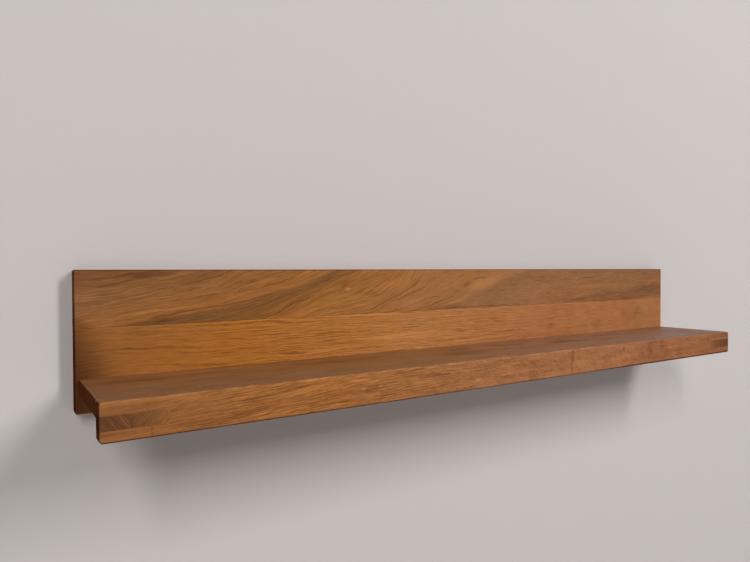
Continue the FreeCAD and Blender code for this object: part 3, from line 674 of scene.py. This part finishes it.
# Soft patches of the lip, given as the upper stave's are.
LIP_PATCHES = [
    (302, 33, 14, 1.4, 0.0, 0.8), (328, 19, 18, 3.4, 0.05, -0.28), (308, 22, 3, 1.6, 0.0, 0.8),
    (334, 22, 3, 1.6, 0.0, 0.7), (500, 13, 5, 1.8, 0.0, 0.45), (665, 14, 4, 1.6, 0.0, 0.45),
    (614, 15, 9, 16, 0.0, -0.2), (707, 31, 3.4, 12, 0.0, -0.33), (703.5, 12, 2.4, 13, 0.0, -0.26),
    (632, 26, 24, 8, 0.0, -0.14), (795, 22, 14, 9, 0.0, -0.2), (1014, 16, 12, 12, 0.0, -0.24),
    (957, 30, 6, 10, 0.0, -0.2), (842, 33, 4, 2.4, 0.0, -0.5), (54, 6, 1.4, 7, 0.0, -0.22),
    (50, 34, 1.4, 7, 0.0, -0.12), (430, 28, 30, 3, 0.04, -0.2), (160, 12, 30, 3, 0.12, -0.25),
    (230, 30, 26, 3, 0.10, 0.2), (920, 27, 9, 13, 0.0, -0.24), (1117, 32, 6, 8, 0.0, -0.15),
    (885, 20, 9, 14, 0.0, 0.06), (932, 20, 46, 40, 0.0, -0.16), (40, 36, 60, 7, 0.0, 0.2),
    (125, 37, 60, 5, 0.0, 0.16),
]

# Changes in the lip, as above.
LIP_PLAIN = (150, 20)  # along: the grain turns plain towards the left end
LIP_SOFTENS = (380, 680)  # along: the grain softens to the right
FIGURE_COMES = (380, 520)  # along: the cross figure sets in
FIGURE_GOES = (1120, 940)  # along: and it fades towards the right end
LIP_FRONT_REACHED = (DEPTH - 3.5, DEPTH - 1.0)  # depth: the painted shade at the foot and the pale edge set in
LIP_FOOT_SHADE_GROWS = (700, 950)  # along: the painted shade at the foot grows from the first of its heights to the second
LIP_FOOT_SHADE_HEIGHTS = (2.1, 3.6)
LIP_FOOT_SHADE_FADE = 1.1
LIP_TOP_REACHED = (SHELF_LEVEL - 0.6, SHELF_LEVEL - 0.1)  # rise: the top face takes the shelf's colours
LIP_WEAR_AND_HIGHLIGHT_EDGE = (SHELF_LEVEL - 4.5, SHELF_LEVEL - 1.0)  # rise: the edge below the top face turns pale, from wear and a painted highlight
LIP_WEAR_AND_HIGHLIGHT_EASES = (300, 650)  # along: that edge's wear and painted highlight ease to the right


def lip_edges(board, colour, fibre):
    """Painted shade at the foot, the top face in the shelf's colours, the pale edge below it and the cut ends.
    """
    g, along, rise = board.graph, board.along, board.rise
    front = g.step(board.depth, *LIP_FRONT_REACHED)
    # Painted shade along the lip's foot, on the arris that faces down.
    foot = g.step(along, *LIP_FOOT_SHADE_GROWS, *LIP_FOOT_SHADE_HEIGHTS)
    colour = g.shaded(colour, g.step(rise, foot, foot - LIP_FOOT_SHADE_FADE) * front, PLAIN, END_GRAIN_AND_SHADE_DARK)
    top = g.shaded(g.ramp(along, SHELF_TONES), fibre * 0.25 + 0.5, DARK_LINE, LIGHT_LINE)
    colour = g.blend(g.step(rise, *LIP_TOP_REACHED) * (1 - front), colour, top)
    # The pale edge below the top face: wear and a painted highlight.
    wear_and_highlight = g.step(along, *LIP_WEAR_AND_HIGHLIGHT_EASES, 0.42, 0.20) + fibre * 0.2
    colour = g.shaded(colour, g.step(rise, *LIP_WEAR_AND_HIGHLIGHT_EDGE) * front * wear_and_highlight, PLAIN, LIGHT_LINE)
    return end_grain(board, colour, 71)


def lip_wood():
    """Wavy grain that climbs to the right, with a cross figure over the middle."""
    board = Board("lip_wood")
    g, along, depth, rise = board.graph, board.along, board.depth, board.rise
    wave = g.noise(board.place, (40, 40, 16), seed=61) * 1.3
    wave = wave + g.noise(board.place, (10, 20, 5), seed=60) * 0.35
    climb = g.curve(along, LIP_CLIMB)
    place = g.point(along, depth, rise + wave - climb)
    level = rise + wave - climb * 0.4
    fibre = g.noise(place, (18, 6, 1.2), detail=1, seed=62)
    lines = rows(g, along, depth, level, 3.2, 66)
    glints = g.dashes(g.point(along, depth, level), (10, 6, 1.3), 0.3, 67)
    broad = g.noise(board.place, (70, 40, 8), detail=1, seed=63)
    cross = g.noise(g.point(along + rise * 0.9, depth, along - rise), (3.4, 30, 26), detail=2, seed=64)
    open_grain = pores(g, place, 0.3, 65)
    clear = 1 - g.step(along, *LIP_PLAIN, 0.0, 0.6)
    soft = g.step(along, *LIP_SOFTENS)
    figured = g.step(along, *FIGURE_COMES) * g.step(along, *FIGURE_GOES)
    value = (fibre * (0.34 - soft * 0.10) + lines * (0.46 - soft * 0.36)) * clear
    value = value + cross * (0.08 + figured * 0.12) + 0.46
    value = value + glints * (0.34 - soft * 0.2) * clear + broad * (0.42 - soft * 0.12)
    value = value + g.marks(along, rise, LIP_PATCHES)
    colour = g.shaded(g.ramp(along, LIP_TONES), value, DARK_LINE, LIGHT_LINE)
    colour = g.shaded(colour, open_grain * (0.74 - figured * 0.24) * clear, PLAIN, PORE)
    colour = lip_edges(board, colour, fibre)
    return oiled(board, colour, fibre - open_grain * PORE_RELIEF, roughness=0.55)


# The end blocks count from their own outer ends instead of along the shelf.
BLOCK_TONES = tones(
    (0, 94, 55, 25), (30, 99, 59, 28), (38, 108, 66, 31), (54, 116, 73, 35), (68, 133, 83, 40),
)
RIGHT_BLOCK_TINT = (0.90, 0.84, 0.78)
RIGHT_HALF = (LENGTH / 2, LENGTH / 2 + 10)  # along: the right block's tint sets in, far from both blocks

# Thin pale rays of the end blocks, given as the patches are.
BLOCK_RAYS = [(23, 20.5, 6.0, 1.5, -1.45, 0.55), (13, 18, 4.0, 1.3, -1.3, 0.3)]

STROKES_TURN = (20, 38)  # from the end: the ring strokes turn from the first of their leans to the second
STROKE_LEANS = (-1.1, 0.9)


def block_wood():
    """End grain: short ring strokes that meet in a V, with pale rays, paler at the block's inner end."""
    board = Board("block_end_grain")
    g, along, depth, rise = board.graph, board.along, board.depth, board.rise
    from_end = g.math("MINIMUM", along - LIP_LEFT, LIP_RIGHT - along)
    sway = g.noise(board.place, (14, 14, 10), seed=81) * 2
    lean = g.step(from_end, *STROKES_TURN, *STROKE_LEANS)
    across = from_end - (rise - (BLOCK_FOOT + BLOCK_TOP) / 2) * lean + sway
    rings_place = g.point(across, depth, from_end + rise)
    rings = g.noise(rings_place, (1.3, 30, 24), detail=3, roughness=0.6, seed=82)
    points = g.dashes(board.place, (1.2, 2.0, 1.2), 0.4, 84)
    rays = g.marks(from_end, rise + sway * 0.3, BLOCK_RAYS)
    colour = g.shaded(g.ramp(from_end, BLOCK_TONES), g.step(along, *RIGHT_HALF), PLAIN, RIGHT_BLOCK_TINT)
    colour = g.shaded(colour, rings * 0.40 + 0.46 + rays, DARK_LINE, LIGHT_LINE)
    colour = g.shaded(colour, points * 0.5, PLAIN, PORE)
    colour = end_grain(board, colour, 85)
    return oiled(board, colour, rings, roughness=0.6)


BEECH = shown(208, 172, 128)
BEECH_DARK = (0.86, 0.82, 0.76)
BEECH_LIGHT = (1.08, 1.08, 1.08)
BEECH_FLECK = (0.84, 0.76, 0.66)


def dowel_wood():
    """Raw beech, fine and even, with short flecks."""
    board = Board("dowel_wood")
    g = board.graph
    fleck = g.dashes(board.place, (1.0, 3.0, 1.0), 0.5, 101)
    fibre = g.noise(board.place, (1.2, 20, 1.2), detail=3, seed=102)
    colour = g.shaded(BEECH, fibre + 0.5, BEECH_DARK, BEECH_LIGHT)
    colour = g.shaded(colour, fleck, PLAIN, BEECH_FLECK)
    return g.finish(colour, 0.72 + fibre * 0.06, fibre, bump=0.03, **{"Specular IOR Level": 0.3})


# ---------------------------------------------------------------------------------------------------------
# Metals
# ---------------------------------------------------------------------------------------------------------

ZINC = shown(176, 178, 180)
ZINC_CLOUD = shown(152, 156, 162)
YELLOW_ZINC = shown(196, 172, 112)
YELLOW_ZINC_CLOUD = shown(176, 156, 122)
DRAWN_DARK = (0.80, 0.80, 0.80)
DRAWN_LIGHT = (1.08, 1.08, 1.08)


def plated_steel(name, tone, cloud_tone, seed):
    """Zinc-plated steel: cloudy plating, fine drawing marks and a few scratches."""
    board = Board(name)
    g = board.graph
    cloud = g.noise(board.place, (6, 6, 6), detail=3, seed=seed)
    drawn = g.noise(board.place, (1.0, 2, 16), detail=2, seed=seed + 1)
    scratch = g.dashes(board.place, (1.2, 2, 9), 0.16, seed + 2)
    colour = g.blend(g.step(cloud, -0.4, 0.4), tone, cloud_tone)
    colour = g.shaded(colour, drawn + 0.5 - scratch * 0.4, DRAWN_DARK, DRAWN_LIGHT)
    rough = 0.44 + cloud * 0.10 + scratch * 0.12
    return g.finish(colour, rough, drawn - scratch * 0.5, bump=0.006, Metallic=1.0)


def hanger_steel():
    return plated_steel("hanger_steel", ZINC, ZINC_CLOUD, 111)


def screw_steel():
    return plated_steel("screw_steel", YELLOW_ZINC, YELLOW_ZINC_CLOUD, 121)


FINISHES = {
    "back_upper_wood": back_upper_wood,
    "back_lower_wood": back_lower_wood,
    "shelf_wood": shelf_wood,
    "lip_wood": lip_wood,
    "block_end_grain": block_wood,
    "dowel_wood": dowel_wood,
    "hanger_steel": hanger_steel,
    "screw_steel": screw_steel,
}


def dress_nodes():
    """Gives each CAD node the finish of its material slot in the record."""
    finishes = {slot: make() for slot, make in FINISHES.items()}
    for subpart in frame["record"]["subparts"]:
        node = frame["nodes"][subpart["node"]]
        node.data.materials.clear()
        node.data.materials.append(finishes[subpart["material_slot"]])


# ---------------------------------------------------------------------------------------------------------
# Stage, lamps and camera
# ---------------------------------------------------------------------------------------------------------

WALL_COLOUR = shown(184, 178, 176)
FLOOR_COLOUR = shown(206, 203, 200)
WORLD_COLOUR = shown(204, 201, 199)
WHITE = opaque(PLAIN)


def matt_paint(name, colour, one_sided):
    """Plain matt paint. A one-sided wall isn't seen from behind, so that the shelf's back can be seen."""
    g = Graph(bpy.data.materials.new(name))
    paint = g.add("ShaderNodeBsdfDiffuse", {"Color": colour}).outputs["BSDF"]
    if one_sided:
        clear = g.add("ShaderNodeBsdfTransparent").outputs["BSDF"]
        behind = g.add("ShaderNodeNewGeometry").outputs["Backfacing"]
        paint = g.add("ShaderNodeMixShader", {0: behind, 1: paint, 2: clear}).outputs["Shader"]
    g.add("ShaderNodeOutputMaterial", {"Surface": paint})
    return g.owner


def stage_plane(name, low_edge, high_edge, material):
    side = STAGE_WIDTH / 2
    corners = [(-side, *low_edge), (side, *low_edge), (side, *high_edge), (-side, *high_edge)]
    mesh = bpy.data.meshes.new(name)
    mesh.from_pydata(corners, [], [(0, 1, 2, 3)])
    mesh.materials.append(material)
    plane = bpy.data.objects.new(name, mesh)
    bpy.context.scene.collection.objects.link(plane)
    return plane


def build_stage():
    """The wall and the floor. Only the camera sees the wall, so that it doesn't shade the shelf's back."""
    wall_paint = matt_paint("wall_paint", WALL_COLOUR, one_sided=True)
    wall_top = FLOOR_LEVEL + WALL_HEIGHT
    wall = stage_plane("stage_wall", (WALL_GAP, FLOOR_LEVEL), (WALL_GAP, wall_top), wall_paint)
    wall.visible_shadow = False
    wall.visible_diffuse = False
    wall.visible_glossy = False
    floor_paint = matt_paint("floor_paint", FLOOR_COLOUR, one_sided=False)
    stage_plane("stage_floor", (-FLOOR_DEPTH, FLOOR_LEVEL), (FLOOR_DEPTH, FLOOR_LEVEL), floor_paint)


def build_world():
    """A plain surround that lights softly, and that looks pale to the camera, in gloss and through glass."""
    world = bpy.data.worlds.new("surround")
    bpy.context.scene.world = world
    g = Graph(world)
    rays = g.add("ShaderNodeLightPath").outputs
    seen = g.math("ADD", rays["Is Camera Ray"], rays["Is Glossy Ray"])
    seen = seen + Field(g, rays["Is Transmission Ray"])
    light = g.add("ShaderNodeBackground", {"Color": WHITE, "Strength": WORLD_STRENGTH}).outputs["Background"]
    pale = g.add("ShaderNodeBackground", {"Color": WORLD_COLOUR}).outputs["Background"]
    mix = g.add("ShaderNodeMixShader", {0: seen, 1: light, 2: pale})
    g.add("ShaderNodeOutputWorld", {"Surface": mix.outputs["Shader"]})


def build_lamps():
    """Rectangular lamps, each turned to the point that it faces."""
    for name, (place, target, width, height, power) in LAMPS.items():
        lamp = bpy.data.lights.new(name, "AREA")
        lamp.shape = "RECTANGLE"
        lamp.size = width
        lamp.size_y = height
        lamp.energy = power
        holder = bpy.data.objects.new(name, lamp)
        holder.location = place
        holder.rotation_euler = (Vector(target) - Vector(place)).to_track_quat("-Z", "Y").to_euler()
        bpy.context.scene.collection.objects.link(holder)


def build_camera():
    """A plain camera, without shift or depth of field."""
    camera = bpy.data.cameras.new("camera")
    camera.lens = CAMERA_LENS
    camera.sensor_width = CAMERA_SENSOR
    camera.clip_start = CAMERA_NEAR
    camera.clip_end = CAMERA_FAR
    holder = bpy.data.objects.new("camera", camera)
    holder.location = CAMERA_PLACE
    holder.rotation_euler = Euler([math.radians(a) for a in (90 - CAMERA_DOWN, CAMERA_ROLL, -CAMERA_YAW)])
    bpy.context.scene.collection.objects.link(holder)
    bpy.context.scene.camera = holder


dress_nodes()
build_stage()
build_world()
build_lamps()
build_camera()
bpy.context.scene.view_settings.view_transform = "Standard"
